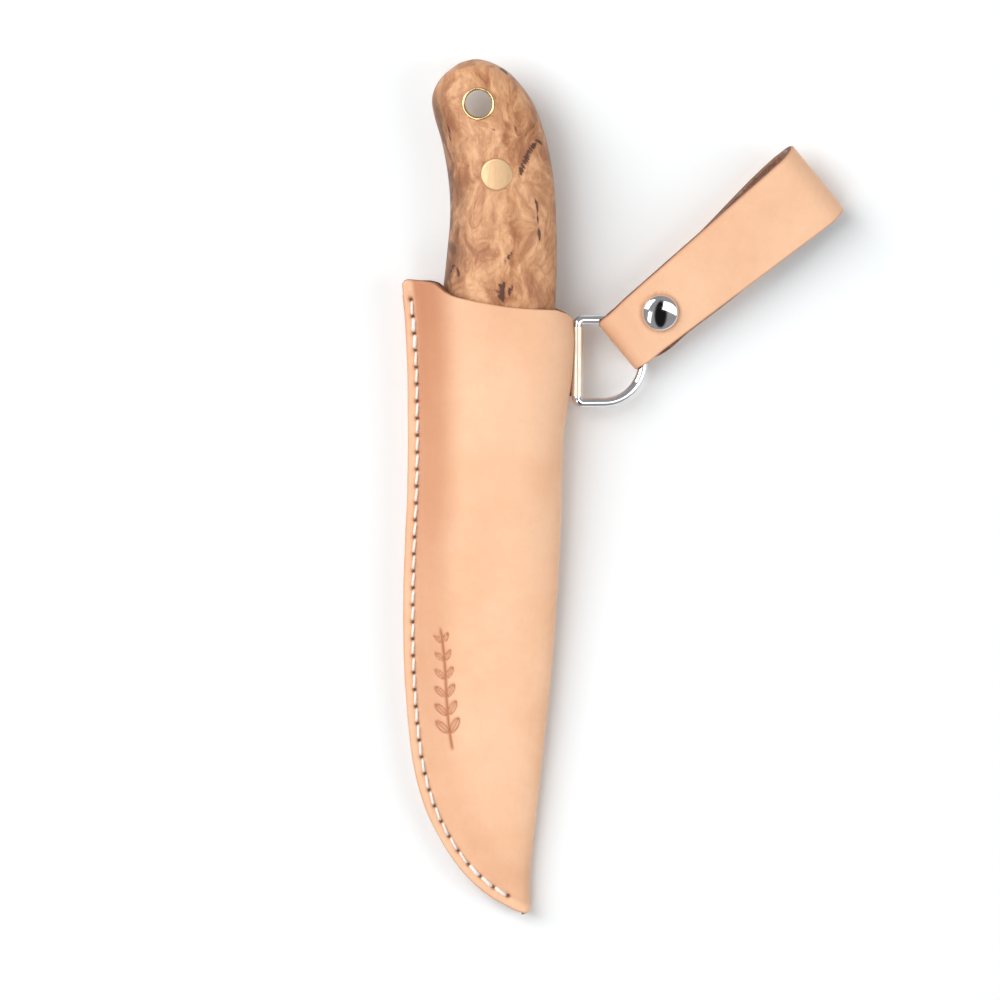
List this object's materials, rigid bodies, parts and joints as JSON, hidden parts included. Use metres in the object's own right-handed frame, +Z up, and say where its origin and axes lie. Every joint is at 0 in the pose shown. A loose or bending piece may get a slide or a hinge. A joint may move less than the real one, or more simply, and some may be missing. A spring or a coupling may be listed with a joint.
{
  "type": "sheathed whittling knife",
  "caption": "Full-tang whittling knife with a curly-birch handle in a folded, stitched leather sheath, with a D-ring and a riveted leather belt loop.",
  "frame": {"origin": "middle of the footprint, on the surface that the sheathed knife lies on", "axes": "+Y along the knife towards the handle's butt, +Z up from the surface it lies on, +X towards the belt loop"},
  "size_m": [0.1103, 0.215, 0.0246],
  "materials": {
    "steel": "satin ground",
    "birch": "oiled",
    "brass": "brushed",
    "leather": "natural vegetable-tanned",
    "thread": "waxed",
    "nickel": "polished nickel plate"
  },
  "bodies": {
    "sheath": {"sheath_shell": "leather", "sheath_welt": "leather", "seam_thread_a": "thread", "seam_thread_b": "thread", "ring_keeper": "nickel"},
    "knife": {"blade": "steel", "handle_scale_front": "birch", "handle_scale_back": "birch", "rear_pin": "brass", "front_pin": "brass", "lanyard_tube": "brass"},
    "ring": {"d_ring": "nickel"},
    "strap": {"belt_loop": "leather", "rivet_cap": "nickel", "rivet_post": "nickel"}
  },
  "joints": [
    {"name": "knife_draw", "type": "slide", "parent": "sheath", "child": "knife", "axis": [0, 0.9985, 0.0541], "range_m": [0, 0.16]},
    {"name": "ring_swing", "type": "hinge", "parent": "sheath", "child": "ring", "pos_m": [-0.00957, 0.03323, 0.0113], "axis": [-0.0698, 0.9961, 0.0539], "range_deg": [-60, 45]},
    {"name": "strap_slide", "type": "hinge", "parent": "ring", "child": "strap", "pos_m": [-0.00274, 0.03383, 0.00911], "axis": [0.3083, -0.0299, 0.9508], "range_deg": [-85, 0]}
  ]
}
